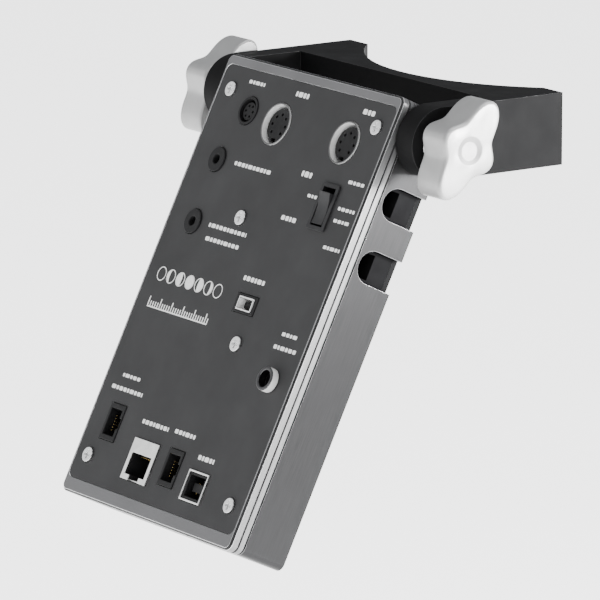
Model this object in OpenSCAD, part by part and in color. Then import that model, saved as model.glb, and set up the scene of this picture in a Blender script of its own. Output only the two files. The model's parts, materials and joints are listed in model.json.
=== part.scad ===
// Control unit of a telescope mount: a flat socket box that tilts in a yoke bracket.
// Row frame: X to the right, Y backward, Z up. The origin is on the bracket's hollow seat,
// midway between the two fixing holes. The panel faces -Y and leans back by the tilt angle.
// Panel positions are [distance from the left edge, distance below the top edge].

/* [Box] */
// Width of the box
box_w = 110; // [100:1:120]
// Height of the box
box_h = 170; // [168:1:180]
// Depth of the box, panel to rear cover
box_d = 25; // [25:0.5:32]
// Corner radius of the box
corner_r = 3; // [3:0.5:4]
// Thickness of the front panel plate
plate_t = 3.2; // [3:0.1:4]
// Thickness of the spacer frame behind the panel plate
spacer_t = 3.2; // [2.5:0.1:3.6]
// Thickness of the side walls
wall_t = 2.5; // [2:0.1:3]
// Thickness of the rear cover
cover_t = 2; // [1.5:0.1:2.5]
// Chamfer along the panel's front edges
plate_chamfer = 0.8; // [0.5:0.1:1]

/* [Tilt] */
// Lean of the panel from vertical, bottom edge forward
tilt = 26; // [0:1:60]
// Distance of the tilt axis below the box's top
axis_drop = 10.5; // [10:0.1:11]
// Distance of the tilt axis behind the panel face
axis_depth = 14.5; // [14:0.1:15]

/* [Yoke] */
// Height of the yoke
yoke_h = 26; // [22:1:32]
// Thickness of each arm
arm_t = 10; // [6:0.5:12]
// Gap between the box and each arm
side_gap = 1; // [1:0.1:1.5]
// Distance from the tilt axis back to the seat
axis_to_seat = 29; // [29:0.1:36]
// Distance from the tilt axis back to the web's front face
axis_to_web = 23; // [22:0.5:24]
// Radius of the round base that the seat fits
seat_r = 76.2; // [70:0.1:90]
// Distance from the tilt axis back to the ends of the arms
arm_end = 52; // [48:0.5:58]
// Distance between the two fixing holes
bolt_spacing = 40; // [30:1:60]
// Radius of each fixing hole
bolt_r = 2.75; // [2:0.05:3.5]

/* [Knobs] */
// Span over the two long lobes
knob_long = 39; // [34:1:44]
// Span over the two short lobes
knob_short = 24; // [22:1:30]
// Radius of the knob between its lobes
knob_waist = 9.8; // [8:0.1:10.5]
// Slenderness of the lobes
lobe_power = 9; // [5:1:12]
// Thickness of the lobes
knob_t = 14; // [9:0.5:15]
// Length of the collar that holds the lobes clear of the arm
collar_len = 1; // [1:0.5:6]
// Radius of the collar
collar_r = 8; // [6:0.5:9]
// Turn of the long lobes from the box's long axis
knob_turn = 9; // [0:1:45]
// Radius of the knob studs
stud_r = 3; // [2.5:0.5:3]

/* [Hidden] */
$fn = 48;
eps = 0.02;
fit_gap = 0.05;
clear_gap = 0.35;

frame_front = plate_t + spacer_t;
cover_front = box_d - cover_t;
inner_w = box_w - 2 * wall_t;
inner_h = box_h - 2 * wall_t;
inner_r = 1;
arm_in = box_w / 2 + side_gap;
arm_out = arm_in + arm_t;
axis_y = -axis_to_seat;

// label sheet and its recess
label_side = 1.5;
label_top = 4;
label_bottom = 5.5;
label_r = 3;
recess_t = 0.4;
label_front = 0.1;

// washers and stud engagement
knob_gap = 0.4;
knob_washer_t = 1;
stud_grip = 12;
pivot_washer_r = 9;
washer_play = 0.25;

// screws
screw_hole_r = 1.5;
screw_shank_r = 1.4;
screw_head_r = 2.8;
screw_head_front = -0.7;
screw_seat = 0.9;
screw_end = 9;
cross_size = [3.2, 0.7];
cross_depth = 0.8;
corner_screws_at = [[9, 13], [101, 13], [9, 155], [101, 155]];
mid_screws_at = [[44, 57], [69.5, 100.5]];
rear_screws_at = [[9, 15.5], [101, 15.5], [9, 158], [101, 158]];

// corner blocks, measured from the box's sides
block_w = 12.5;
block_top = 4.5;
block_h = 14;
low_block_top = 149;
low_block_h = 13;
insert_len = 11;

// circuit board
board_front = 18;
board_t = 1.6;
board_rear = board_front + board_t;
board_margin = 1.5;
board_notch_w = 14;
board_notch_top = 18.5;
board_notch_low = 17.5;
board_posts_at = [[8, 72], [101, 76], [26, 112], [101, 132]];
post_r = 3;
standoff_r = 3.2;
board_screw_end = 22.5;
chip_at = [38, 86];
chip_w = 22;
chip_t = 2;
spreader_w = 20;
spreader_t = 7;
fin_pitch = 3;
fin_gap = 1.6;
fin_depth = 5;
driver_chips_at = [[32, 40], [48, 40], [78, 66]];
driver_chip = [9, 9];
driver_chip_t = 1.6;
capacitors_at = [[84, 116], [84, 130], [70, 124]];
capacitor_r = 4;
capacitor_t = 9;
battery_at = [52, 112];
battery_r = 10;
battery_t = 3.2;
battery_base = 1;
battery_rim = 1;
card_at = [30, 128];
card_w = 11;
card_h = 14;
card_t = 0.8;
card_slot_w = 11.4;
card_holder_w = 15;
card_holder_t = 2;

// round sockets
din_at = [[43, 21], [86, 21]];
din_r = 8;
din_shell_t = 0.6;
din_shell_front = -0.2;
din_insert_r = 6.2;
din_insert_front = 1.4;
din_floor = 9;
din_pin_ring = 4;
din_key = 2.4;
din_pin_r = 0.6;
din_pin_depth = 8;
guide_at = [24, 19];
guide_r = 5.4;
guide_core_r = 3.4;
guide_groove_r = 4.4;
guide_depth = 8;
guide_pin_ring = 2.2;
guide_pin_r = 0.5;
jacks_at = [[17, 39], [17, 63]];
jack_r = 4.7;
jack_bore_r = 1.8;
jack_bore_len = 12;
jack_front = -0.6;
power_at = [97, 109];
power_r = 4;
power_bushing_r = 4.4;
power_bushing_front = -3.2;
power_bore_r = 3.1;
power_pin_r = 1.05;
power_depth = 10;

// square sockets: [width, height]
net_at = [41, 151];
net_size = [16, 15.5];
net_wall = 0.6;
net_cavity = [12, 7.8];
net_drop = 1.7;
net_latch = [6, 2];
usb_at = [77.5, 153];
usb_size = [12.6, 11.4];
usb_wall = 0.7;
usb_cavity = [9, 8];
usb_tongue = [5.6, 3.2];
tongue_front = 1.5;
contact = [0.5, 1];
contact_pitch = 1.1;
mini_at = [66, 86];
mini_size = [13, 7];
mini_port = [7.8, 3.9];
mini_shell = [9.2, 5.2];
mini_depth = 9;
mini_frame_rear = 6;
phone_at = [[16, 141], [60, 149.5]];
phone_size = [9.6, 13.8];
phone_cavity = [6.8, 10];
phone_latch = [2, 4];
socket_depth = 13;
panel_gap = 0.2;

// side sockets and their slots
side_slots_y = [36, 59.5];
slot_h = 12;
slot_front = 7.6;
side_len = 13.6;
side_cavity_h = 9.2;
side_cavity_front = 8.8;
side_cavity_rear = 15;
side_cavity_len = 11;

// rocker switch
switch_at = [89, 45];
bezel = [10.6, 17.4];
bezel_front = -0.7;
switch_size = [9, 15.6];
switch_cavity = [7.2, 14.4];
switch_cavity_rear = 12;
rocker_w = 6.4;
rocker_pivot = 3.5;
rocker_lean = 8;
rocker_pin_r = 1;

// ---------- placement ----------

// From box coordinates (panel face at y = 0, top at z = 0) to the row frame.
module in_box() {
    translate([0, axis_y, 0]) rotate([-tilt, 0, 0]) translate([0, -axis_depth, axis_drop]) children();
}

// Moves to a panel position in box coordinates.
module at_panel(p) {
    translate([p[0] - box_w / 2, 0, -p[1]]) children();
}

// ---------- basic shapes, depth along +Y ----------

// Round rod from depth d0 to depth d1.
module rod(r, d0, d1) {
    translate([0, d0, 0]) rotate([-90, 0, 0]) cylinder(r = r, h = d1 - d0);
}

// Centred block from depth d0 to depth d1.
module block(size, d0, d1) {
    translate([-size[0] / 2, d0, -size[1] / 2]) cube([size[0], d1 - d0, size[1]]);
}

// Flat outline with round corners.
module round_outline(w, h, r) {
    square([w - 2 * r, h], center = true);
    square([w, h - 2 * r], center = true);
    for (sx = [-1, 1], sy = [-1, 1]) translate([sx * (w / 2 - r), sy * (h / 2 - r)]) circle(r = r);
}

// Centred slab with round corners from depth d0 to depth d1.
module slab(w, h, r, d0, d1) {
    translate([0, d1, 0]) rotate([90, 0, 0]) linear_extrude(d1 - d0) round_outline(w, h, r);
}

// Slab whose front edges carry a chamfer of size c.
module chamfered_slab(w, h, r, c, d0, d1) {
    slab(w, h, r, d0 + c, d1);
    for (sx = [-1, 1], sz = [-1, 1])
        translate([sx * (w / 2 - r), d0, sz * (h / 2 - r)])
            rotate([-90, 0, 0]) cylinder(r1 = r - c, r2 = r, h = c);
    rotate([90, 0, 90]) translate([0, 0, -(w / 2 - r)]) linear_extrude(w - 2 * r)
        polygon([[d0, -h / 2 + c], [d0, h / 2 - c], [d0 + c, h / 2], [d0 + c, -h / 2]]);
    translate([0, 0, -(h / 2 - r)]) linear_extrude(h - 2 * r)
        polygon([[-w / 2 + c, d0], [w / 2 - c, d0], [w / 2, d0 + c], [-w / 2, d0 + c]]);
}

// Moves to the middle of the box outline.
module mid_box() {
    translate([0, 0, -box_h / 2]) children();
}

// Pan-head screw that points along +Y, with a cross recess in its head.
module screw(head_front, seat, tip) {
    difference() {
        union() {
            rod(screw_head_r, head_front, seat);
            rod(screw_shank_r, seat - eps, tip);
        }
        for (a = [0, 90]) rotate([0, a, 0]) block(cross_size, head_front - 1, head_front + cross_depth);
    }
}

// ---------- yoke ----------

// One arm: a bar with a round front end about the tilt axis.
module arm() {
    translate([0, axis_y, 0]) rotate([0, 90, 0]) cylinder(r = yoke_h / 2, h = arm_t);
    translate([0, axis_y, -yoke_h / 2]) cube([arm_t, axis_to_seat + seat_r, yoke_h]);
}

module yoke() {
    color("dimgray") difference() {
        union() {
            for (x = [-arm_out, arm_in]) translate([x, 0, 0]) arm();
            translate([-arm_out, axis_y + axis_to_web, -yoke_h / 2])
                cube([2 * arm_out, axis_to_seat - axis_to_web + seat_r, yoke_h]);
        }
        translate([0, seat_r, -yoke_h]) cylinder(r = seat_r, h = 2 * yoke_h, $fn = 96);
        translate([-2 * arm_out, axis_y + arm_end, -yoke_h]) cube([4 * arm_out, 2 * seat_r, 2 * yoke_h]);
        for (x = [-arm_out, arm_in])
            translate([x - 1, axis_y, 0]) rotate([0, 90, 0])
                cylinder(r = stud_r + clear_gap, h = arm_t + 2);
        for (x = [-bolt_spacing / 2, bolt_spacing / 2])
            translate([x, axis_y, 0]) rotate([-90, 0, 0]) cylinder(r = bolt_r, h = axis_to_seat + seat_r);
    }
}

// ---------- knobs: built for the right side, mirrored for the left ----------

collar_front = arm_out + knob_gap + knob_washer_t;
lobe_front = collar_front + collar_len;
stud_inner = box_w / 2 - insert_len;

// Radius of the lobed outline at angle a from the long lobes.
function lobed(a) = knob_waist + (knob_long / 2 - knob_waist) * pow(abs(cos(a)), lobe_power)
    + (knob_short / 2 - knob_waist) * pow(abs(sin(a)), lobe_power);

// Flat outline of the knob head, long lobes along its Y.
module knob_outline() {
    polygon([for (a = [0:3:357]) lobed(a) * [sin(a), cos(a)]]);
}

// Turns the knob head to its clamped position about the tilt axis.
module on_axis() {
    translate([0, axis_y, 0]) rotate([-tilt - knob_turn, 0, 0]) rotate([90, 0, 90]) children();
}

module knob() {
    difference() {
        on_axis() union() {
            translate([0, 0, collar_front]) cylinder(r = collar_r, h = collar_len + 1);
            translate([0, 0, lobe_front]) linear_extrude(knob_t) knob_outline();
        }
        on_axis() translate([0, 0, collar_front - 1]) cylinder(r = stud_r + fit_gap, h = stud_grip + 2);
    }
}

module knob_stud() {
    on_axis() translate([0, 0, stud_inner]) cylinder(r = stud_r, h = collar_front + stud_grip - stud_inner);
}

module knob_washer() {
    on_axis() translate([0, 0, arm_out + knob_gap]) difference() {
        cylinder(r = collar_r + 1, h = knob_washer_t);
        translate([0, 0, -1]) cylinder(r = stud_r + fit_gap, h = knob_washer_t + 2);
    }
}

module pivot_washer() {
    on_axis() translate([0, 0, box_w / 2]) difference() {
        cylinder(r = pivot_washer_r, h = side_gap - washer_play);
        translate([0, 0, -1]) cylinder(r = stud_r + clear_gap, h = side_gap + 2);
    }
}

module knob_right() { color("gainsboro") knob(); }
module knob_left() { color("gainsboro") mirror([1, 0, 0]) knob(); }
module knob_stud_right() { color("silver") knob_stud(); }
module knob_stud_left() { color("silver") mirror([1, 0, 0]) knob_stud(); }
module knob_washer_right() { color("silver") knob_washer(); }
module knob_washer_left() { color("silver") mirror([1, 0, 0]) knob_washer(); }
module pivot_washer_right() { color("black") pivot_washer(); }
module pivot_washer_left() { color("black") mirror([1, 0, 0]) pivot_washer(); }

// ---------- enclosure ----------

// Every opening that goes through the panel, from depth d0 to depth d1.
module panel_openings(d0, d1) {
    for (p = din_at) at_panel(p) rod(din_r + panel_gap, d0, d1);
    at_panel(guide_at) rod(guide_r + panel_gap, d0, d1);
    for (p = jacks_at) at_panel(p) rod(jack_r + panel_gap, d0, d1);
    at_panel(power_at) rod(power_r + panel_gap, d0, d1);
    at_panel(net_at) block(net_size + [0.4, 0.4], d0, d1);
    at_panel(usb_at) block(usb_size + [0.4, 0.4], d0, d1);
    at_panel(mini_at) block(mini_size + [0.4, 0.4], d0, d1);
    for (p = phone_at) at_panel(p) block(phone_size + [0.4, 0.4], d0, d1);
    at_panel(switch_at) block(switch_size + [0.4, 0.4], d0, d1);
}

// The label sheet's outline, grown by g, from depth d0 to depth d1.
module label_shape(g, d0, d1) {
    w = box_w - 2 * label_side + 2 * g;
    h = box_h - label_top - label_bottom + 2 * g;
    translate([0, 0, -(box_h + label_top - label_bottom) / 2]) slab(w, h, label_r, d0, d1);
}

module front_plate() {
    color([0.13, 0.13, 0.13]) in_box() difference() {
        mid_box() chamfered_slab(box_w, box_h, corner_r, plate_chamfer, 0, plate_t);
        label_shape(0.1, -1, recess_t);
        panel_openings(-1, plate_t + 1);
        for (p = concat(corner_screws_at, mid_screws_at)) at_panel(p) {
            rod(screw_hole_r, -1, plate_t + 1);
            rod(screw_head_r + 0.2, -1, screw_seat);
        }
    }
}

module label_sheet() {
    color([0.2, 0.2, 0.2]) in_box() difference() {
        label_shape(0, label_front, recess_t);
        panel_openings(-1, recess_t + 1);
        for (p = concat(corner_screws_at, mid_screws_at))
            at_panel(p) rod(screw_head_r + 0.2, -1, recess_t + 1);
    }
}

module spacer_frame() {
    color([0.25, 0.25, 0.25]) in_box() mid_box() difference() {
        slab(box_w, box_h, corner_r, plate_t, frame_front);
        slab(inner_w, inner_h, inner_r, plate_t - 1, frame_front + 1);
    }
}

// Round-ended slot through the right wall, open at the wall's rear edge.
module side_slot(y) {
    translate([box_w / 2 - wall_t - 1, 0, -y]) {
        translate([0, slot_front + slot_h / 2, 0]) rotate([0, 90, 0])
            cylinder(r = slot_h / 2, h = wall_t + 2);
        translate([0, slot_front + slot_h / 2, -slot_h / 2]) cube([wall_t + 2, box_d, slot_h]);
    }
}

module side_frame() {
    color([0.35, 0.35, 0.35]) in_box() difference() {
        mid_box() slab(box_w, box_h, corner_r, frame_front, box_d);
        mid_box() slab(inner_w, inner_h, inner_r, frame_front - 1, box_d + 1);
        for (y = side_slots_y) side_slot(y);
        translate([-box_w, axis_depth, -axis_drop]) rotate([0, 90, 0])
            cylinder(r = stud_r + clear_gap, h = 2 * box_w);
    }
}

module rear_cover() {
    color([0.15, 0.15, 0.15]) in_box() difference() {
        mid_box() slab(inner_w - 0.4, inner_h - 0.4, 0.8, cover_front, box_d);
        for (p = rear_screws_at) at_panel(p) rod(screw_hole_r, cover_front - 1, box_d + 1);
    }
}

// Threaded block in an upper corner: takes the knob's stud and two cover screws.
module pivot_block() {
    translate([box_w / 2 - wall_t - block_w, plate_t, -block_top - block_h])
        cube([block_w, cover_front - plate_t, block_h]);
}

module block_holes() {
    translate([-box_w, axis_depth, -axis_drop]) rotate([0, 90, 0])
        cylinder(r = stud_r + fit_gap, h = 2 * box_w);
    for (p = corner_screws_at) at_panel(p) rod(screw_hole_r, 0, screw_end + 1);
    for (p = rear_screws_at) at_panel(p) rod(screw_hole_r, board_front - 1, box_d + 1);
}

module pivot_block_right() {
    color("silver") in_box() difference() {
        pivot_block();
        block_holes();
    }
}

module pivot_block_left() {
    color("silver") in_box() difference() {
        mirror([1, 0, 0]) pivot_block();
        block_holes();
    }
}

module lower_blocks() {
    color("silver") in_box() difference() {
        for (x = [wall_t - box_w / 2, box_w / 2 - wall_t - block_w])
            translate([x, plate_t, -low_block_top - low_block_h])
                cube([block_w, cover_front - plate_t, low_block_h]);
        block_holes();
    }
}

module corner_screws() {
    color("white") in_box() for (p = corner_screws_at)
        at_panel(p) screw(screw_head_front, screw_seat, screw_end);
}

module panel_screws() {
    color("white") in_box() for (p = mid_screws_at)
        at_panel(p) screw(screw_head_front, screw_seat, screw_end);
}

module rear_screws() {
    color("white") in_box() for (p = rear_screws_at)
        at_panel(p) translate([0, 2 * box_d, 0]) mirror([0, 1, 0])
            screw(box_d + screw_head_front - screw_seat, box_d, 2 * box_d - board_front);
}

// Hexagonal pillars between the board and the middle of the panel.
module panel_standoffs() {
    color("gold") in_box() for (p = mid_screws_at) at_panel(p) difference() {
        translate([0, plate_t, 0]) rotate([-90, 0, 0])
            cylinder(r = standoff_r, h = board_front - plate_t, $fn = 6);
        rod(screw_hole_r, 0, screw_end + 1);
    }
}

// ---------- electronics ----------

module circuit_board() {
    color("darkgreen") in_box() difference() {
        mid_box() block([inner_w - 2 * board_margin, inner_h - 2 * board_margin], board_front, board_rear);
        for (s = [-1, 1]) {
            translate([s * box_w / 2 - board_notch_w - wall_t, 0, -board_notch_top - wall_t])
                cube([2 * (board_notch_w + wall_t), box_d, board_notch_top + 2 * wall_t]);
            translate([s * box_w / 2 - board_notch_w - wall_t, 0, -box_h])
                cube([2 * (board_notch_w + wall_t), box_d, board_notch_low + 2 * wall_t]);
        }
        translate([box_w / 2 - wall_t - side_len - 1, 0, -side_slots_y[1] - 8])
            cube([side_len + 2, box_d, side_slots_y[1] - side_slots_y[0] + 16]);
        for (p = board_posts_at) at_panel(p) rod(screw_hole_r, 0, box_d);
    }
}

module board_posts() {
    color("gold") in_box() for (p = board_posts_at) at_panel(p) difference() {
        rod(post_r, board_rear, cover_front);
        rod(screw_hole_r, board_rear - 1, cover_front + 1);
    }
}

module board_screws() {
    color("white") in_box() for (p = board_posts_at)
        at_panel(p) screw(board_front + screw_head_front - screw_seat, board_front, board_screw_end);
}

module controller_chip() {
    color([0.1, 0.1, 0.1]) in_box() at_panel(chip_at)
        block([chip_w, chip_w], board_front - chip_t, board_front);
}

module heat_spreader() {
    color("silver") in_box() at_panel(chip_at) difference() {
        block([spreader_w, spreader_w], board_front - chip_t - spreader_t, board_front - chip_t);
        for (i = [-2.5:1:2.5]) translate([i * fin_pitch, board_front - chip_t - spreader_t, 0])
            block([fin_gap, spreader_w + 1], -1, fin_depth);
    }
}

module driver_chips() {
    color([0.1, 0.1, 0.1]) in_box() for (p = driver_chips_at)
        at_panel(p) block(driver_chip, board_front - driver_chip_t, board_front);
}

module capacitors() {
    color("midnightblue") in_box() for (p = capacitors_at)
        at_panel(p) rod(capacitor_r, board_front - capacitor_t, board_front);
}

module battery_holder() {
    rim_front = board_front - battery_base - battery_t;
    color([0.15, 0.15, 0.15]) in_box() at_panel(battery_at) difference() {
        rod(battery_r + battery_rim, rim_front, board_front);
        rod(battery_r + 2 * fit_gap, rim_front - 1, board_front - battery_base);
    }
}

module clock_battery() {
    color("silver") in_box() at_panel(battery_at)
        rod(battery_r, board_front - battery_base - battery_t, board_front - battery_base);
}

module card_holder() {
    color("silver") in_box() at_panel(card_at) difference() {
        block([card_holder_w, card_holder_w], board_front - card_holder_t, board_front);
        translate([0, board_front - card_holder_t / 2, -2])
            block([card_slot_w, card_holder_w], -card_t / 2 - fit_gap, card_t / 2 + fit_gap);
    }
}

module memory_card() {
    color([0.1, 0.1, 0.1]) in_box() at_panel(card_at + [0, 2])
        translate([0, board_front - card_holder_t / 2, 0]) block([card_w, card_h], -card_t / 2, card_t / 2);
}

// ---------- round sockets ----------

module din_shell(p) {
    color("silver") in_box() at_panel(p) difference() {
        rod(din_r, din_shell_front, din_floor + 1);
        rod(din_r - din_shell_t, -1, din_floor);
    }
}

// Insulator with a ring of pin holes and a key slot at the bottom.
module din_insert(p) {
    color([0.1, 0.1, 0.1]) in_box() at_panel(p) difference() {
        union() {
            rod(din_insert_r, din_insert_front, din_floor);
            rod(din_r, din_floor + 1, board_front);
        }
        for (a = [-135:45:135]) rotate([0, a, 0])
            translate([0, 0, din_pin_ring]) rod(din_pin_r, 0, din_pin_depth);
        translate([0, 0, -din_insert_r]) block([din_key, din_key], 0, din_pin_depth);
    }
}

module din_shell_left() { din_shell(din_at[0]); }
module din_shell_right() { din_shell(din_at[1]); }
module din_insert_left() { din_insert(din_at[0]); }
module din_insert_right() { din_insert(din_at[1]); }

module guide_socket() {
    color([0.08, 0.08, 0.08]) in_box() at_panel(guide_at) difference() {
        rod(guide_r, -0.3, board_front);
        difference() {
            rod(guide_groove_r, -1, guide_depth);
            rod(guide_core_r, 0.5, guide_depth + 1);
        }
        for (a = [30:60:330]) rotate([0, a, 0])
            translate([0, 0, guide_pin_ring]) rod(guide_pin_r, 0, guide_depth);
    }
}

// Plug jack: threaded barrel with a front collar and a bore for a 3.5 mm plug.
module plug_jack(p) {
    color([0.08, 0.08, 0.08]) in_box() at_panel(p) difference() {
        rod(jack_r, jack_front, board_front);
        rod(jack_bore_r, jack_front - 1, jack_front + jack_bore_len);
    }
}

module jack_upper() { plug_jack(jacks_at[0]); }
module jack_lower() { plug_jack(jacks_at[1]); }

module power_jack() {
    color([0.08, 0.08, 0.08]) in_box() at_panel(power_at) difference() {
        rod(power_r, 0.1, board_front);
        difference() {
            rod(power_bore_r, -1, power_depth);
            rod(power_pin_r, 1, power_depth + 1);
        }
    }
}

module power_bushing() {
    color("silver") in_box() at_panel(power_at) difference() {
        rod(power_bushing_r, power_bushing_front, label_front);
        rod(power_bore_r, power_bushing_front - 1, 1);
    }
}

// ---------- square sockets ----------

// Opening of the network socket with its latch notch, grown by g.
module net_opening(g, d0, d1) {
    translate([0, 0, -net_drop]) block(net_cavity + [g, g], d0, d1);
    translate([0, 0, -net_drop - net_cavity[1] / 2]) block(net_latch + [g, net_latch[1] + g], d0, d1);
}

module network_shield() {
    color("silver") in_box() at_panel(net_at) difference() {
        block(net_size, -0.4, board_front);
        block(net_size - 2 * [net_wall, net_wall], 0.2, board_front - net_wall);
        net_opening(0.3, -1, 1);
    }
}

module network_insert() {
    color([0.1, 0.1, 0.1]) in_box() at_panel(net_at) difference() {
        block(net_size - 2 * [net_wall, net_wall], 0.2, board_front - net_wall);
        net_opening(0, -1, socket_depth);
        for (i = [-3.5:1:3.5]) translate([i * contact_pitch, 0, -net_drop + net_cavity[1] / 2])
            block(contact, -1, socket_depth);
    }
}

module usb_shield() {
    color("silver") in_box() at_panel(usb_at) difference() {
        block(usb_size, -0.4, board_front);
        block(usb_size - 2 * [usb_wall, usb_wall], -1, board_front - usb_wall);
    }
}

// Insulator inside the shield: walls around the plug's space and the tongue in its middle.
module usb_insert() {
    color([0.1, 0.1, 0.1]) in_box() at_panel(usb_at) {
        difference() {
            block(usb_size - 2 * [usb_wall, usb_wall], 0, board_front - usb_wall);
            block(usb_cavity, -1, socket_depth);
        }
        block(usb_tongue, tongue_front, socket_depth + eps);
    }
}

module mini_port_frame() {
    color([0.08, 0.08, 0.08]) in_box() at_panel(mini_at) difference() {
        block(mini_size, -0.2, mini_frame_rear);
        block(mini_shell, -1, mini_frame_rear + 1);
    }
}

module mini_port_shell() {
    color("silver") in_box() at_panel(mini_at) difference() {
        block(mini_shell, -0.4, board_front);
        block(mini_port, -1, mini_depth);
    }
}

// Six-way modular socket, its long side upright.
module phone_socket(p) {
    color([0.07, 0.07, 0.07]) in_box() at_panel(p) difference() {
        block(phone_size, -0.3, board_front);
        block(phone_cavity, -1, socket_depth);
        translate([phone_cavity[0] / 2, 0, 0]) block(phone_latch, -1, socket_depth);
    }
}

module phone_socket_left() { phone_socket(phone_at[0]); }
module phone_socket_centre() { phone_socket(phone_at[1]); }

// Modular socket that opens to the right through a side slot.
module side_socket(y) {
    color([0.2, 0.2, 0.2]) in_box() translate([box_w / 2 - wall_t - side_len - 0.1, 0, -y]) difference() {
        translate([0, slot_front + 0.3, -slot_h / 2 + 0.1])
            cube([side_len, cover_front - slot_front - 0.4, slot_h - 0.2]);
        translate([side_len - side_cavity_len, side_cavity_front, -side_cavity_h / 2])
            cube([side_len, side_cavity_rear - side_cavity_front, side_cavity_h]);
    }
}

module side_socket_upper() { side_socket(side_slots_y[0]); }
module side_socket_lower() { side_socket(side_slots_y[1]); }

// ---------- rocker switch ----------

module switch_body() {
    color([0.07, 0.07, 0.07]) in_box() at_panel(switch_at) difference() {
        union() {
            slab(bezel[0], bezel[1], 1, bezel_front, label_front);
            block(switch_size, label_front - eps, board_front);
        }
        block(switch_cavity, bezel_front - 1, switch_cavity_rear);
        translate([-box_w / 2, rocker_pivot, 0]) rotate([0, 90, 0]) cylinder(r = rocker_pin_r, h = box_w);
    }
}

module rocker_pin() {
    color("silver") in_box() at_panel(switch_at) translate([-switch_size[0] / 2, rocker_pivot, 0])
        rotate([0, 90, 0]) cylinder(r = rocker_pin_r, h = switch_size[0]);
}

// Rocker with a shallow V front, leaned to its off position. Profile points are [depth, height].
module rocker() {
    color([0.05, 0.05, 0.05]) in_box() at_panel(switch_at)
        translate([0, rocker_pivot, 0]) rotate([rocker_lean, 0, 0]) translate([-rocker_w / 2, 0, 0])
            rotate([90, 0, 90]) difference() {
                linear_extrude(rocker_w)
                    polygon([[-5, 5.9], [-4.4, 3], [-4.2, 0], [-4.4, -3], [-5, -5.9], [1, -5.2],
                        [4, -2.2], [4, 2.2], [1, 5.2]]);
                translate([0, 0, -1]) cylinder(r = rocker_pin_r + fit_gap, h = rocker_w + 2);
            }
}

// ---------- nodes ----------

yoke();
knob_left();
knob_right();
knob_stud_left();
knob_stud_right();
knob_washer_left();
knob_washer_right();
pivot_washer_left();
pivot_washer_right();
front_plate();
label_sheet();
spacer_frame();
side_frame();
rear_cover();
pivot_block_left();
pivot_block_right();
lower_blocks();
corner_screws();
panel_screws();
panel_standoffs();
rear_screws();
circuit_board();
board_posts();
board_screws();
controller_chip();
heat_spreader();
driver_chips();
capacitors();
battery_holder();
clock_battery();
card_holder();
memory_card();
din_shell_left();
din_shell_right();
din_insert_left();
din_insert_right();
guide_socket();
jack_upper();
jack_lower();
power_jack();
power_bushing();
network_shield();
network_insert();
usb_shield();
usb_insert();
mini_port_shell();
mini_port_frame();
phone_socket_left();
phone_socket_centre();
side_socket_upper();
side_socket_lower();
switch_body();
rocker_pin();
rocker();
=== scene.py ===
"""Looks of the telescope control box: a socket panel that tilts in a yoke bracket between two knobs.

Lengths named _MM are millimetres; everything given to Blender is in metres, in the CAD's frame.
Panel positions are (distance from the left edge, distance below the top edge) in millimetres.
"""

import json
import math

import bmesh
import bpy
from mathutils import Matrix, Vector


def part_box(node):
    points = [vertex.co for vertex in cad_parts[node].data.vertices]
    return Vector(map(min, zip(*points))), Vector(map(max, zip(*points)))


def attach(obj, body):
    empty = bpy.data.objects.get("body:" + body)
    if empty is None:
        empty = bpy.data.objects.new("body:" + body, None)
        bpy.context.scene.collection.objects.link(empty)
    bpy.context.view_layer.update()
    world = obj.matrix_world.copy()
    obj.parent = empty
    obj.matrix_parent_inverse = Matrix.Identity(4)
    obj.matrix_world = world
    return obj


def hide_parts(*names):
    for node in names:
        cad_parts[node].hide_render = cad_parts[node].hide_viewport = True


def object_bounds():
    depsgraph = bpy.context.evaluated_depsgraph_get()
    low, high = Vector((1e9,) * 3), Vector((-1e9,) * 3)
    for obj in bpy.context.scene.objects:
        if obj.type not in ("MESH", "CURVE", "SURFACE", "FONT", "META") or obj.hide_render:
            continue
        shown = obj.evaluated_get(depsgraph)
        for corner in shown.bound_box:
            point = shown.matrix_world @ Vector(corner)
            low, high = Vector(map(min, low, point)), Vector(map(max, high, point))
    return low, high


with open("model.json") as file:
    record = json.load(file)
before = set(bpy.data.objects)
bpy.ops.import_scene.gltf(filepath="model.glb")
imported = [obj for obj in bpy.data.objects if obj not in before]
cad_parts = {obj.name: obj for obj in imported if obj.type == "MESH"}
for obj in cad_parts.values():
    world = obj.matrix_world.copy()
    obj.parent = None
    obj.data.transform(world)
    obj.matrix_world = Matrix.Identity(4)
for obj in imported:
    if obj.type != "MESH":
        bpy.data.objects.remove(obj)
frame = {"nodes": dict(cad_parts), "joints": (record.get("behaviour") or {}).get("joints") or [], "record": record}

CAD_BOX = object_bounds()
MM = 0.001


# ---------- the panel's own axes, read from the frame ----------

def mount(name):
    return next(m for m in frame["record"]["mounts"] if m["name"] == name)


def joint(name):
    return next(j for j in frame["joints"] if j["name"] == name)


RIGHT = Vector((1, 0, 0))
FRONT = Vector(mount("jack_upper_bore")["axis"]).normalized()
UP = RIGHT.cross(-FRONT).normalized()
TILT = math.atan2(FRONT.z, -FRONT.y)
AXIS = Vector(joint("box_tilt")["pos_m"])
PLATE = [v.co for v in frame["nodes"]["front_plate"].data.vertices]
LEFT_EDGE = min(p.dot(RIGHT) for p in PLATE)
TOP_EDGE = max(p.dot(UP) for p in PLATE)
FACE = max(p.dot(FRONT) for p in PLATE)
PLATE_HEIGHT = TOP_EDGE - min(p.dot(UP) for p in PLATE)
NET_AT = (41, 151)
PHONE_AT = ((16, 141), (60, 149.5))
USB_AT = (77.5, 153)
MINI_AT = (66, 86)
POWER_AT = (97, 109)
# Faces of the power jack nearer to its axis than this belong to the centre pin.
PIN_REACH_MM = 1.3
# Edges with a larger angle between their faces are rounded.
SHARP_DEG = 32.0


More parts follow.
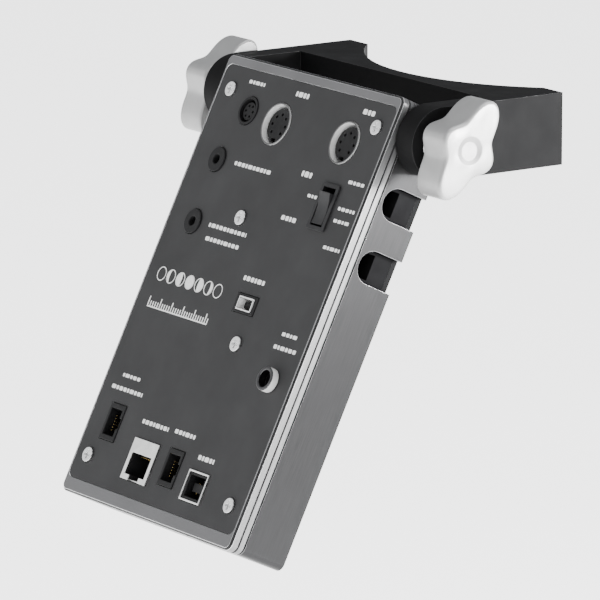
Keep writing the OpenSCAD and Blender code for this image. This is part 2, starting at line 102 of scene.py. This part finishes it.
def panel_point(x, y, depth):
    """Row-frame point at a panel position, depth behind the face."""
    return RIGHT * (LEFT_EDGE + x * MM) + UP * (TOP_EDGE - y * MM) + FRONT * (FACE - depth * MM)


# ---------- materials ----------

class Shader:
    """A Principled material and short ways to wire procedural detail into it."""

    def __init__(self, name, colour, metallic, roughness):
        self.mat = bpy.data.materials.new(name)
        self.mat.use_nodes = True
        self.mat.diffuse_color = (*colour, 1)
        self.nodes = self.mat.node_tree.nodes
        self.bsdf = self.nodes["Principled BSDF"]
        self.set("Base Color", (*colour, 1))
        self.set("Metallic", metallic)
        self.set("Roughness", roughness)

    def set(self, socket, value):
        self.bsdf.inputs[socket].default_value = value

    def link(self, source, target):
        self.mat.node_tree.links.new(source, target)

    def node(self, kind, **inputs):
        made = self.nodes.new(kind)
        for key, value in inputs.items():
            made.inputs[key].default_value = value
        return made

    def noise(self, scale, stretch=(1, 1, 1), detail=4.0):
        """Noise in the panel's own axes: stretch is its scale along right, depth and up."""
        place = self.node("ShaderNodeTexCoord")
        turn = self.node("ShaderNodeMapping", Rotation=(TILT, 0, 0))
        squeeze = self.node("ShaderNodeMapping", Scale=stretch)
        grain = self.node("ShaderNodeTexNoise", Scale=scale, Detail=detail)
        self.link(place.outputs["Object"], turn.inputs["Vector"])
        self.link(turn.outputs["Vector"], squeeze.inputs["Vector"])
        self.link(squeeze.outputs["Vector"], grain.inputs["Vector"])
        return grain.outputs["Fac"]

    def tint(self, source, low, high, start=0.3, end=0.7):
        ramp = self.node("ShaderNodeValToRGB")
        ramp.color_ramp.elements[0].position = start
        ramp.color_ramp.elements[1].position = end
        ramp.color_ramp.elements[0].color = (*low, 1)
        ramp.color_ramp.elements[1].color = (*high, 1)
        self.link(source, ramp.inputs["Fac"])
        self.link(ramp.outputs["Color"], self.bsdf.inputs["Base Color"])

    def gloss(self, source, low, high):
        span = self.node("ShaderNodeMapRange")
        span.inputs["From Min"].default_value = 0.3
        span.inputs["From Max"].default_value = 0.7
        span.inputs["To Min"].default_value = low
        span.inputs["To Max"].default_value = high
        self.link(source, span.inputs["Value"])
        self.link(span.outputs["Result"], self.bsdf.inputs["Roughness"])

    def bump(self, source, height_mm):
        relief = self.node("ShaderNodeBump", Strength=1.0, Distance=height_mm * MM)
        self.link(source, relief.inputs["Height"])
        self.link(relief.outputs["Normal"], self.bsdf.inputs["Normal"])


def scaled(colour, factor):
    return tuple(min(1.0, c * factor) for c in colour)


def anodised(name, colour, rough, sheen=0.3):
    """Bead-blasted and anodised aluminium: fine even grain, faint handling marks in the gloss."""
    s = Shader(name, colour, 0.25, rough)
    s.set("Specular IOR Level", sheen)
    s.tint(s.noise(60), scaled(colour, 0.92), scaled(colour, 1.1))
    s.gloss(s.noise(120, detail=8.0), rough - 0.04, rough + 0.06)
    s.bump(s.noise(2600), 0.012)
    return s.mat


def brushed(name, colour, rough):
    """Metal brushed along the panel's height."""
    s = Shader(name, colour, 0.85, rough)
    s.set("Anisotropic", 0.4)
    lines = s.noise(1.0, (2400, 2400, 90), 3.0)
    s.tint(lines, scaled(colour, 0.9), scaled(colour, 1.1))
    s.gloss(lines, rough - 0.04, rough + 0.06)
    s.bump(lines, 0.002)
    return s.mat


def plated(name, colour, rough):
    """Nickel or zinc plating: smooth, a little uneven in gloss."""
    s = Shader(name, colour, 1.0, rough)
    s.tint(s.noise(420), scaled(colour, 0.86), colour)
    s.gloss(s.noise(260, detail=6.0), rough - 0.06, rough + 0.14)
    s.bump(s.noise(1500), 0.003)
    return s.mat


def satin(name, colour):
    """Dull bright plating: pale and even, with little mirror."""
    s = Shader(name, colour, 0.25, 0.4)
    s.tint(s.noise(300), scaled(colour, 0.94), colour)
    s.gloss(s.noise(200), 0.36, 0.46)
    return s.mat


def moulded(name, colour, rough, grain_mm=0.01, sheen=0.25):
    """Moulded plastic with a fine sparked grain."""
    s = Shader(name, colour, 0.0, rough)
    s.set("Specular IOR Level", sheen)
    s.tint(s.noise(90), scaled(colour, 0.8), scaled(colour, 1.3))
    s.gloss(s.noise(150, detail=6.0), rough - 0.08, rough + 0.08)
    s.bump(s.noise(3200), grain_mm)
    return s.mat


def cast_white(name, colour):
    """Tumbled white metal: soft lumps under a satin skin."""
    s = Shader(name, colour, 0.35, 0.38)
    s.tint(s.noise(70), scaled(colour, 0.88), scaled(colour, 1.06))
    s.gloss(s.noise(180, detail=7.0), 0.3, 0.48)
    s.bump(s.noise(650, detail=6.0), 0.03)
    return s.mat


def printed_sheet(name, colour):
    """Printed polycarbonate sheet: flat, with a very fine velvet texture."""
    s = Shader(name, colour, 0.0, 0.6)
    s.set("Specular IOR Level", 0.25)
    s.tint(s.noise(45), scaled(colour, 0.9), scaled(colour, 1.12))
    s.gloss(s.noise(80, detail=8.0), 0.54, 0.66)
    s.bump(s.noise(4200), 0.006)
    return s.mat


def ink(name, colour):
    s = Shader(name, colour, 0.0, 0.55)
    s.tint(s.noise(900), scaled(colour, 0.86), colour)
    s.bump(s.noise(3000), 0.004)
    return s.mat


def board_green(name):
    """Solder mask with the faint relief of the copper beneath."""
    base = (0.012, 0.11, 0.045)
    s = Shader(name, base, 0.0, 0.3)
    s.set("Coat Weight", 0.4)
    s.tint(s.noise(260, (1, 1, 6)), scaled(base, 0.7), scaled(base, 1.6), 0.42, 0.55)
    s.bump(s.noise(260, (1, 1, 6)), 0.03)
    return s.mat


MATS = {
    # Darker copy of the anodised finish for the plate's chamfer and the spacer's rounded edges: painted shade.
    "black_anodised": anodised("black_anodised", (0.014, 0.014, 0.0145), 0.48),
    "yoke_black": anodised("yoke_black", (0.008, 0.008, 0.0083), 0.66, 0.07),
    # Lighter, glossier copy of the yoke's black finish for rounded edges: painted highlight.
    "yoke_edge_highlight": anodised("yoke_edge_highlight", (0.05, 0.05, 0.051), 0.45, 0.25),
    "plate_border": anodised("plate_border", (0.12, 0.12, 0.123), 0.4),
    # Pale plating for the front plate's rounded edges: painted highlight.
    "painted_edge_highlight": plated("painted_edge_highlight", (0.86, 0.86, 0.87), 0.3),
    "bright_side": brushed("bright_side", (0.2, 0.2, 0.202), 0.42),
    "side_brushed": brushed("side_brushed", (0.028, 0.028, 0.0288), 0.36),
    # Pale plating for the side frame's rounded edges: painted highlight.
    "side_edge_highlight": plated("side_edge_highlight", (0.3, 0.3, 0.305), 0.3),
    "panel_sheet": printed_sheet("panel_sheet", (0.027, 0.027, 0.0278)),
    "knob_metal": cast_white("knob_metal", (0.37, 0.37, 0.368)),
    "steel": plated("steel", (0.72, 0.72, 0.72), 0.22),
    "block_metal": brushed("block_metal", (0.6, 0.6, 0.61), 0.32),
    "socket_metal": plated("socket_metal", (0.78, 0.78, 0.77), 0.24),
    "socket_bright": satin("socket_bright", (0.85, 0.85, 0.84)),
    # Darker plating for socket rims: painted shade.
    "rim_painted_shade": plated("rim_painted_shade", (0.16, 0.16, 0.16), 0.4),
    "dark_nickel": plated("dark_nickel", (0.07, 0.07, 0.072), 0.3),
    "black_plastic": moulded("black_plastic", (0.005, 0.005, 0.0055), 0.6),
    "slot_plastic": moulded("slot_plastic", (0.006, 0.006, 0.0065), 0.8, 0.01, 0.06),
    "switch_plastic": moulded("switch_plastic", (0.014, 0.014, 0.015), 0.5, 0.004),
    "nylon": moulded("nylon", (0.03, 0.03, 0.03), 0.45),
    "brass": plated("brass", (0.72, 0.53, 0.24), 0.26),
    "gold": plated("gold", (0.85, 0.62, 0.25), 0.2),
    "board": board_green("board"),
    "chip": moulded("chip", (0.02, 0.02, 0.02), 0.6),
    "can": plated("can", (0.09, 0.11, 0.2), 0.35),
    "ink": ink("ink", (0.88, 0.88, 0.87)),
}


# ---------- mesh helpers ----------

def piece(name, bm, mats, body, replaced=(), smooth_deg=35.0):
    """Turns a bmesh into a shown piece that rides on a CAD body."""
    mesh = bpy.data.meshes.new(name)
    bmesh.ops.recalc_face_normals(bm, faces=bm.faces)
    bm.to_mesh(mesh)
    bm.free()
    for m in mats:
        mesh.materials.append(MATS[m])
    mesh.polygons.foreach_set("use_smooth", [True] * len(mesh.polygons))
    mesh.set_sharp_from_angle(angle=math.radians(smooth_deg))
    obj = bpy.data.objects.new(name, mesh)
    bpy.context.scene.collection.objects.link(obj)
    even = obj.modifiers.new("even_normals", "WEIGHTED_NORMAL")
    even.keep_sharp = True
    even.weight = 90
    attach(obj, body)
    if replaced:
        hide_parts(*replaced)


def node_mesh(name):
    """The CAD node's mesh as clean flat faces: seams welded, coplanar triangles joined."""
    bm = bmesh.new()
    bm.from_mesh(frame["nodes"][name].data)
    bmesh.ops.remove_doubles(bm, verts=bm.verts, dist=1e-6)
    bmesh.ops.dissolve_limit(bm, angle_limit=math.radians(0.4), verts=bm.verts, edges=bm.edges)
    return bm


def soften(bm, width_mm, segments=2, material=0):
    """Rounds every sharp edge; the new faces take a material slot."""
    limit = math.radians(SHARP_DEG)
    sharp = [e for e in bm.edges if len(e.link_faces) == 2 and e.calc_face_angle(0) > limit]
    bmesh.ops.bevel(bm, geom=sharp, offset=width_mm * MM, offset_type="OFFSET", segments=segments,
                    profile=0.5, affect="EDGES", clamp_overlap=True, material=material)


def body_of_node(node):
    return next(b for b, members in frame["record"]["behaviour"]["bodies"].items() if node in members)


def refined(node, look, width_mm, edge):
    """A copy of a CAD node with rounded edges, which stands for it."""
    bm = node_mesh(node)
    soften(bm, width_mm, material=1 if edge else 0)
    mats = [look] + ([edge] if edge else [])
    piece(node + "_made", bm, mats, body_of_node(node), [node])


def loft(bm, rings):
    """Joins rings of points by quads; each end is closed by one face."""
    rows = [[bm.verts.new(p) for p in ring] for ring in rings]
    for a, b in zip(rows, rows[1:]):
        for i in range(len(a)):
            j = (i + 1) % len(a)
            bm.faces.new((a[i], a[j], b[j], b[i]))
    bm.faces.new(list(reversed(rows[0])))
    bm.faces.new(rows[-1])


def circle(radius, count, place, height):
    """Points of a circle in the XY plane of a placing matrix, all in millimetres but the matrix."""
    turn = 2 * math.pi / count
    return [place @ Vector((radius * math.cos(i * turn) * MM, radius * math.sin(i * turn) * MM, height * MM))
            for i in range(count)]


# ---------- knobs ----------

KNOB_WAIST_MM = 9.8
KNOB_LONG_MM = 19.5
KNOB_SHORT_MM = 12.0
COLLAR_R_MM = 8.0
COLLAR_LEN_MM = 1.0
# Radius of the flat faces that close the knob at both ends; the stud's bore isn't cut in this mesh.
END_FACE_R_MM = 3.1
KNOB_TURN = math.radians(9)
LOBE_POWER = 9
KNOB_BACK_ROUND_MM = 1.2
KNOB_FRONT_ROUND_MM = 1.8
KNOB_POINTS = 144


def knob_radius(angle):
    """Radius of the lobed outline: long lobes along the local X, short ones along Y."""
    along = abs(math.cos(angle)) ** LOBE_POWER
    across = abs(math.sin(angle)) ** LOBE_POWER
    return KNOB_WAIST_MM + (KNOB_LONG_MM - KNOB_WAIST_MM) * along + (KNOB_SHORT_MM - KNOB_WAIST_MM) * across


def make_knob(side, sign):
    node = f"knob_{side}"
    low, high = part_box(node)
    inner = low.x if sign > 0 else high.x
    thick = (high.x - low.x) / MM
    lean = TILT + KNOB_TURN
    long_way = Vector((0, math.sin(lean), math.cos(lean)))
    out = RIGHT * sign
    place = Matrix((long_way, out.cross(long_way), out)).transposed().to_4x4()
    place = Matrix.Translation(Vector((inner, AXIS.y, AXIS.z))) @ place
    count = KNOB_POINTS

    def outline(inset, height):
        ring = []
        for i in range(count):
            a = 2 * math.pi * i / count
            r = knob_radius(a) - inset
            ring.append(place @ Vector((r * math.cos(a) * MM, r * math.sin(a) * MM, height * MM)))
        return ring

    back, front = KNOB_BACK_ROUND_MM, KNOB_FRONT_ROUND_MM
    bm = bmesh.new()
    rings = [circle(END_FACE_R_MM, count, place, 0), circle(COLLAR_R_MM - 0.4, count, place, 0),
             circle(COLLAR_R_MM, count, place, 0.4), circle(COLLAR_R_MM, count, place, COLLAR_LEN_MM - 0.1)]
    for k in range(5):
        a = math.radians(90 * k / 4)
        rings.append(outline(back * (1 - math.sin(a)), COLLAR_LEN_MM + back * (1 - math.cos(a))))
    for k in range(7):
        a = math.radians(90 * k / 6)
        rings.append(outline(front * (1 - math.cos(a)) * 0.8, thick - front * (1 - math.sin(a))))
    rings.append(outline(front * 0.8 + 1.2, thick + 0.1))
    rings.append(circle(5.4, count, place, thick + 0.25))
    rings.append(circle(4.9, count, place, thick - 0.1))
    rings.append(circle(END_FACE_R_MM + 0.4, count, place, thick - 0.2))
    rings.append(circle(END_FACE_R_MM, count, place, thick - 0.5))
    loft(bm, rings)
    piece(node + "_made", bm, ["knob_metal"], node, [node], 50.0)


# ---------- enclosure ----------

def make_front_plate():
    """Dark face, bare satin sides, a chamfer in a darker copy of the finish as painted shade, and a fine bright
    line on the rounded edges as painted highlight.
    """
    bm = node_mesh("front_plate")
    bm.normal_update()
    for f in bm.faces:
        out = f.normal.dot(FRONT)
        sideways = max(abs(f.normal.dot(RIGHT)), abs(f.normal.dot(UP))) > 0.6
        # Chamfer faces take the darker anodised copy: painted shade.
        chamfer = 0.35 < out < 0.93
        if chamfer:
            f.material_index = 1
        elif abs(out) < 0.1 and sideways and on_outline(f.calc_center_median()):
            f.material_index = 2
    # The rounded edges take the pale plating: a painted highlight line.
    soften(bm, 0.16, 1, material=3)
    piece("front_plate_made", bm, ["plate_border", "black_anodised", "bright_side", "painted_edge_highlight"], "box",
          ["front_plate"])


def on_outline(point):
    """Whether a point lies within a millimetre of the plate's outer sides."""
    reach_mm = 1.0
    x = abs(point.dot(RIGHT)) / MM
    y = (TOP_EDGE - point.dot(UP)) / MM
    return x > -LEFT_EDGE / MM - reach_mm or y < reach_mm or y > PLATE_HEIGHT / MM - reach_mm


def make_din_shells():
    """Nickel shells round a bright bore; the thin rim is in darker plating as painted shade."""
    for side in ("left", "right"):
        node = "din_shell_" + side
        bm = node_mesh(node)
        bm.normal_update()
        # Front-facing faces and the rounded edges take the darker plating: painted shade on the rim.
        for f in bm.faces:
            if abs(f.normal.dot(FRONT)) > 0.5:
                f.material_index = 1
        soften(bm, 0.12, 1, material=1)
        piece(node + "_made", bm, ["socket_bright", "rim_painted_shade"], "box", [node])


def off_axis(point, centre):
    """Vector to a point from the line that runs through centre along the panel's depth."""
    across = point - centre
    return across - FRONT * across.dot(FRONT)


def make_power_jack():
    """Black jack with a bright centre pin."""
    centre = panel_point(*POWER_AT, 0)
    bm = node_mesh("power_jack")
    bm.normal_update()
    for f in bm.faces:
        if all(off_axis(v.co, centre).length < PIN_REACH_MM * MM for v in f.verts):
            f.material_index = 1
    soften(bm, 0.15)
    piece("power_jack_made", bm, ["black_plastic", "steel"], "box",
          ["power_jack"])


def make_power_bushing():
    """Dark bushing whose outer wall is bright."""
    centre = panel_point(*POWER_AT, 0)
    bm = node_mesh("power_bushing")
    bm.normal_update()
    for f in bm.faces:
        outward = f.normal.dot(off_axis(f.calc_center_median(), centre)) > 0
        if abs(f.normal.dot(FRONT)) < 0.3 and outward:
            f.material_index = 1
    soften(bm, 0.4)
    piece("power_bushing_made", bm, ["dark_nickel", "socket_bright"], "box",
          ["power_bushing"])


# ---------- contacts inside the sockets ----------

WIRE_MM = 0.34
WIRE_PITCH_MM = 1.1
WIRE_FRONT_MM = 2.5
WIRE_BACK_MM = 12.9
NET_WIRE_RISE_MM = 1.7
PHONE_WIRE_SHIFT_MM = 2.9


def strip(bm, x, y, wide, tall, d0, d1):
    """Small bar with chamfered front edges; its middle is at a panel position."""
    w, h, c = wide / 2, tall / 2, min(wide, tall) * 0.25
    rings = []
    for inset, d in ((c, d0), (0, d0 + c), (0, d1)):
        rings.append([panel_point(x + sx * (w - inset), y + sy * (h - inset), d)
                      for sx, sy in ((-1, -1), (1, -1), (1, 1), (-1, 1))])
    loft(bm, rings)


def make_contacts():
    gold = bmesh.new()
    wire = (WIRE_MM, WIRE_MM, WIRE_FRONT_MM, WIRE_BACK_MM)
    for i in range(8):
        strip(gold, NET_AT[0] + (i - 3.5) * WIRE_PITCH_MM, NET_AT[1] - NET_WIRE_RISE_MM, *wire)
    for x, y in PHONE_AT:
        for i in range(6):
            strip(gold, x - PHONE_WIRE_SHIFT_MM, y + (i - 2.5) * WIRE_PITCH_MM, *wire)
    for sx in (-1, 1):
        for sy in (-1, 1):
            strip(gold, USB_AT[0] + sx * 1.4, USB_AT[1] + sy * 1.72, 0.9, 0.24, 2.6, 12.8)
    piece("socket_contacts", gold, ["gold"], "box")
    tongue = bmesh.new()
    strip(tongue, MINI_AT[0], MINI_AT[1], 6.4, 2.6, 1.6, 8.9)
    piece("mini_port_tongue", tongue, ["black_plastic"], "box")


# ---------- printed marks: plain bars, moon phases and a graduated line ----------

PRINT_THICK_MM = 0.05
PRINT_DEPTH_MM = 0.1
# Lines of small print: left end, right end, height below the top edge, height of the print.
PRINT_LINES = [
    (18, 28, 8.5, 1.7), (48, 56, 8.5, 2.4), (90, 98, 8.5, 2.4),
    (28, 51, 38.5, 1.9),
    (67, 76, 52.5, 2.2), (77, 83.5, 42.5, 1.5), (69, 75.5, 35.5, 2.6),
    (97, 107, 34, 1.6), (97, 107, 44, 1.6), (97, 107, 48.5, 1.6), (97, 107, 58.5, 1.6),
    (27, 51, 62.5, 1.9), (28, 50, 67.5, 1.9),
    (59, 73, 77, 2.2),
    (93, 103, 92, 1.7), (91, 105, 97, 1.9),
    (11, 23, 123.5, 1.7), (7, 27, 128.5, 1.9),
    (33, 50, 137, 2.0), (54, 67, 136.5, 2.0), (73, 83, 142.5, 2.2),
]
MARKS_MM = (1.9, 1.2, 2.5, 1.5, 2.1)
MARK_GAP_MM = 0.5


def flat_prism(bm, outline):
    """Thin printed shape whose outline is a list of panel positions."""
    tops = [bm.verts.new(panel_point(x, y, PRINT_DEPTH_MM - PRINT_THICK_MM)) for x, y in outline]
    feet = [bm.verts.new(panel_point(x, y, PRINT_DEPTH_MM)) for x, y in outline]
    bm.faces.new(tops)
    bm.faces.new(list(reversed(feet)))
    for i in range(len(tops)):
        j = (i + 1) % len(tops)
        bm.faces.new((tops[i], feet[i], feet[j], tops[j]))


def dash(bm, x0, x1, y, tall):
    """Dash with rounded ends."""
    r = min(tall, x1 - x0) / 2 * 0.6
    points = []
    for cx, cy, start in ((x1 - r, y + tall / 2 - r, 0), (x0 + r, y + tall / 2 - r, 90),
                          (x0 + r, y - tall / 2 + r, 180), (x1 - r, y - tall / 2 + r, 270)):
        for k in range(4):
            a = math.radians(start + 30 * k)
            points.append((cx + r * math.cos(a), cy + r * math.sin(a)))
    flat_prism(bm, points)


def print_line(bm, x0, x1, y, tall, shift):
    """A line of small print as plain bars of mixed lengths."""
    x, k = x0, shift
    while x < x1 - 0.4:
        wide = min(MARKS_MM[k % len(MARKS_MM)], x1 - x)
        dash(bm, x, x + wide, y, tall * 0.8)
        x += wide + MARK_GAP_MM
        k += 1


def ring_mark(bm, x, y, r_out, r_in, count=36):
    """Flat ring built from short cells."""
    for i in range(count):
        a0 = math.radians(360 * i / count)
        a1 = math.radians(360 * (i + 1) / count)
        cell = [(x + r * math.cos(a), y + r * math.sin(a))
                for r, a in ((r_in, a0), (r_out, a0), (r_out, a1), (r_in, a1))]
        flat_prism(bm, cell)


MOON_Y_MM = 84.5
MOON_R_MM = 2.7
MOON_FILL = 0.96
MOON_FIRST_MM = 10.5
MOON_PITCH_MM = 6.1
MOON_COUNT = 7
SCALE_Y_MM = 95.5


def moon_row(bm):
    """Row of moon phases, drawn as lens shapes that grow and shrink across the row."""
    half = (MOON_COUNT - 1) / 2
    r = MOON_FILL * MOON_R_MM
    for i in range(MOON_COUNT):
        x = MOON_FIRST_MM + MOON_PITCH_MM * i
        ring_mark(bm, x, MOON_Y_MM, MOON_R_MM, MOON_R_MM - 0.35)
        lit = (i - half) / half
        inner = abs(lit) * 2 - 1
        side = -1 if lit < 0 else 1
        outline = []
        for k in range(13):
            a = math.radians(-90 + 15 * k)
            outline.append((x + side * r * math.cos(a), MOON_Y_MM + r * math.sin(a)))
        for k in range(1, 12):
            a = math.radians(90 - 15 * k)
            outline.append((x + side * inner * r * math.cos(a), MOON_Y_MM + r * math.sin(a)))
        if abs(inner) < 0.99:
            flat_prism(bm, outline)
        elif inner < 0:
            ring_mark(bm, x, MOON_Y_MM, r, 0.0001)


def graduated_line(bm):
    """Plain graduated line under the moon row."""
    left, right, pitch = 9, 48, 1.48
    dash(bm, left, right, SCALE_Y_MM + 1.6, 0.5)
    for i in range(27):
        x = left + 0.25 + pitch * i
        tall = 3.6 if i % 5 == 0 else 2.0
        dash(bm, x - 0.28, x + 0.28, SCALE_Y_MM + 1.4 - tall / 2, tall)


def make_prints():
    bm = bmesh.new()
    for k, (x0, x1, y, tall) in enumerate(PRINT_LINES):
        print_line(bm, x0, x1, y, tall, k)
    moon_row(bm)
    graduated_line(bm)
    piece("panel_prints", bm, ["ink"], "box")


# ---------- stage ----------

VIEW_AZIMUTH = math.radians(55.8)
VIEW_ELEVATION = math.radians(12.2)
VIEW_DISTANCE = 2.25
VIEW_WIDTH = 0.215
SENSOR_MM = 36
FLOOR_DROP = 0.12
FLOOR_GLOW = 2.6
STUDIO_STRENGTH = 0.5
# Lamps: name, place, aim, side of the square, power in watts.
LAMPS = [
    ("key", (1.1, -0.7, 1.0), (0, 0, -0.05), 0.8, 9),
    ("side", (0.48, 0.27, 0.02), (0.055, -0.03, 0), 0.2, 12),
    ("top", (-0.1, 0.3, 1.5), (0, 0, -0.05), 1.2, 12),
    ("fill", (-1.2, -1.0, 0.3), (0, 0, -0.05), 1.0, 4),
]


def make_camera():
    low, high = CAD_BOX
    aim = (low + high) / 2
    back = Vector((math.sin(VIEW_AZIMUTH) * math.cos(VIEW_ELEVATION),
                   -math.cos(VIEW_AZIMUTH) * math.cos(VIEW_ELEVATION), math.sin(VIEW_ELEVATION)))
    data = bpy.data.cameras.new("camera")
    data.sensor_width = SENSOR_MM
    data.lens = SENSOR_MM * VIEW_DISTANCE / VIEW_WIDTH
    cam = bpy.data.objects.new("camera", data)
    cam.location = aim + back * VIEW_DISTANCE
    cam.rotation_euler = (-back).to_track_quat("-Z", "Y").to_euler()
    bpy.context.scene.collection.objects.link(cam)
    bpy.context.scene.camera = cam


def area_light(name, place, aim, size, power):
    data = bpy.data.lights.new(name, "AREA")
    data.shape = "SQUARE"
    data.size = size
    data.energy = power
    lamp = bpy.data.objects.new(name, data)
    lamp.location = place
    lamp.rotation_euler = (Vector(aim) - Vector(place)).to_track_quat("-Z", "Y").to_euler()
    bpy.context.scene.collection.objects.link(lamp)


def make_stage():
    low, _ = CAD_BOX
    floor_z = low.z - FLOOR_DROP
    bm = bmesh.new()
    bmesh.ops.create_grid(bm, x_segments=1, y_segments=1, size=6)
    mesh = bpy.data.meshes.new("floor")
    bm.to_mesh(mesh)
    bm.free()
    floor = bpy.data.objects.new("floor", mesh)
    floor.location.z = floor_z
    s = Shader("floor_pale", (0.92, 0.92, 0.92), 0.0, 0.9)
    s.set("Emission Color", (1, 1, 1, 1))
    s.set("Emission Strength", FLOOR_GLOW)
    mesh.materials.append(s.mat)
    bpy.context.scene.collection.objects.link(floor)
    world = bpy.data.worlds.new("studio")
    world.use_nodes = True
    sky = world.node_tree.nodes["Background"].inputs
    sky["Color"].default_value = (0.95, 0.97, 1.0, 1)
    sky["Strength"].default_value = STUDIO_STRENGTH
    bpy.context.scene.world = world
    for lamp in LAMPS:
        area_light(*lamp)


# ---------- assembly ----------

# CAD node: look, edge radius in millimetres, look of the rounded edge.
REFINED = {
    # Rounded edges in a lighter copy of the black finish: painted highlight.
    "yoke": ("yoke_black", 0.8, "yoke_edge_highlight"),
    "label_sheet": ("panel_sheet", 0.04, None),
    # The spacer's rounded edges take the darker anodised copy: painted shade at the joints.
    "spacer_frame": ("bright_side", 0.7, "black_anodised"),
    # Rounded edges in pale plating: painted highlight.
    "side_frame": ("side_brushed", 0.3, "side_edge_highlight"),
    # Rounded edges in a lighter copy of the black finish: painted highlight.
    "rear_cover": ("yoke_black", 0.3, "yoke_edge_highlight"),
    "pivot_block_left": ("block_metal", 0.2, None),
    "pivot_block_right": ("block_metal", 0.2, None),
    "lower_blocks": ("block_metal", 0.2, None),
    "knob_washer_left": ("steel", 0.2, None),
    "knob_washer_right": ("steel", 0.2, None),
    "pivot_washer_left": ("nylon", 0.15, None),
    "pivot_washer_right": ("nylon", 0.15, None),
    "corner_screws": ("steel", 0.22, None),
    "panel_screws": ("steel", 0.22, None),
    "rear_screws": ("steel", 0.22, None),
    "din_insert_left": ("black_plastic", 0.12, None),
    "din_insert_right": ("black_plastic", 0.12, None),
    "guide_socket": ("black_plastic", 0.12, None),
    "jack_upper": ("black_plastic", 0.3, None),
    "jack_lower": ("black_plastic", 0.3, None),
    "network_shield": ("socket_metal", 0.12, None),
    "network_insert": ("black_plastic", 0.08, None),
    "usb_shield": ("socket_metal", 0.2, None),
    "usb_insert": ("black_plastic", 0.15, None),
    # Rounded edges in the darker plating: painted shade on the rim.
    "mini_port_shell": ("socket_bright", 0.12, "rim_painted_shade"),
    "mini_port_frame": ("black_plastic", 0.2, None),
    "phone_socket_left": ("black_plastic", 0.2, None),
    "phone_socket_centre": ("black_plastic", 0.2, None),
    "side_socket_upper": ("slot_plastic", 0.2, None),
    "side_socket_lower": ("slot_plastic", 0.2, None),
    "switch_body": ("switch_plastic", 0.3, None),
    "rocker": ("switch_plastic", 0.4, None),
}
# CAD nodes that keep their own mesh: look.
KEPT = {
    "knob_stud_left": "steel",
    "knob_stud_right": "steel",
    "panel_standoffs": "brass",
    "circuit_board": "board",
    "board_posts": "brass",
    "board_screws": "steel",
    "controller_chip": "chip",
    "heat_spreader": "block_metal",
    "driver_chips": "chip",
    "capacitors": "can",
    "battery_holder": "black_plastic",
    "clock_battery": "steel",
    "card_holder": "socket_metal",
    "memory_card": "chip",
    "rocker_pin": "steel",
}

make_camera()
make_stage()
for node, (look, width, edge) in REFINED.items():
    refined(node, look, width, edge)
for node, look in KEPT.items():
    frame["nodes"][node].data.materials.clear()
    frame["nodes"][node].data.materials.append(MATS[look])
make_front_plate()
make_din_shells()
make_power_jack()
make_power_bushing()
make_contacts()
make_knob("left", -1)
make_knob("right", 1)
make_prints()
